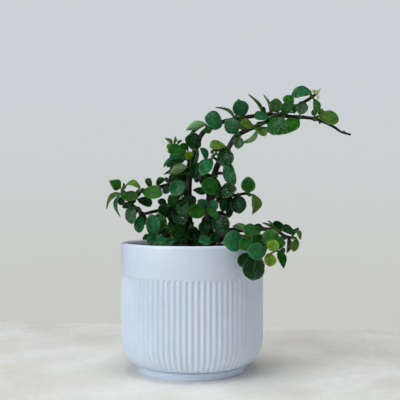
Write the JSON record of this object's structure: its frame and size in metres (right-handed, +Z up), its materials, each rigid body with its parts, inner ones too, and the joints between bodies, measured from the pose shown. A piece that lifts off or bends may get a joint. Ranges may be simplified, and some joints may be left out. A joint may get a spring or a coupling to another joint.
{
  "type": "bonsai tree",
  "caption": "Small jade bonsai with round glossy leaves on two arching leaders, in a round white ceramic pot with upright ribs.",
  "frame": {"origin": "centre of the pot's underside, where it stands on a level surface", "axes": "+Z up the pot's axis, +X towards the side over which the leaders arch, +Y away from the side that is seen as the front"},
  "size_m": [0.2074, 0.1364, 0.2384],
  "materials": {
    "glaze": "white satin-gloss ceramic glaze",
    "earth": "dark crumbly potting soil",
    "bark": "dark brown-grey bark",
    "foliage": "dark green waxy leaves"
  },
  "bodies": {
    "root": {"pot": "glaze", "wood": "bark", "soil": "earth", "leaves_left_tip": "foliage", "leaves_left_bend": "foliage", "leaves_left_pair": "foliage", "leaves_left_hanging": "foliage", "leaves_left_inner": "foliage", "leaves_left_root": "foliage", "leaves_rim_left": "foliage", "leaves_rim_middle": "foliage", "leaves_rim_root": "foliage", "leaves_rim_right": "foliage", "leaves_crown_left_top": "foliage", "leaves_crown_left_side": "foliage", "leaves_crown_left_low": "foliage", "leaves_inner_high": "foliage", "leaves_inner_left": "foliage", "leaves_inner_low": "foliage", "leaves_inner_middle": "foliage", "leaves_upper_left": "foliage", "leaves_upper_pale": "foliage", "leaves_upper_fan": "foliage", "leaves_fork_low": "foliage", "leaves_fork_side": "foliage", "leaves_fork_top": "foliage", "leaves_fork_under": "foliage", "leaves_arch_left": "foliage", "leaves_arch_under": "foliage", "leaves_arch_fork": "foliage", "leaves_arch_spears": "foliage", "leaves_arch_middle": "foliage", "leaves_arch_green": "foliage", "leaves_arch_back": "foliage", "leaves_arch_low": "foliage", "leaves_end_top": "foliage", "leaves_end_inner": "foliage", "leaves_end_low": "foliage", "leaves_centre_big": "foliage", "leaves_centre_root": "foliage", "leaves_centre_down": "foliage", "leaves_centre_end": "foliage", "leaves_trunk_front": "foliage", "leaves_trunk_right": "foliage", "leaves_trunk_low": "foliage", "leaves_soil_left": "foliage", "leaves_trunk_left": "foliage", "leaves_over_rim_first": "foliage", "leaves_over_rim_top": "foliage", "leaves_over_rim_middle": "foliage", "leaves_over_rim_leaf": "foliage", "leaves_over_rim_tip": "foliage", "leaves_over_rim_hanging": "foliage", "leaves_far_right_spears": "foliage", "leaves_back_high": "foliage", "leaves_back_low": "foliage", "leaves_back_right": "foliage", "leaves_back_rim": "foliage", "leaves_far_right_end": "foliage"}
  },
  "joints": []
}
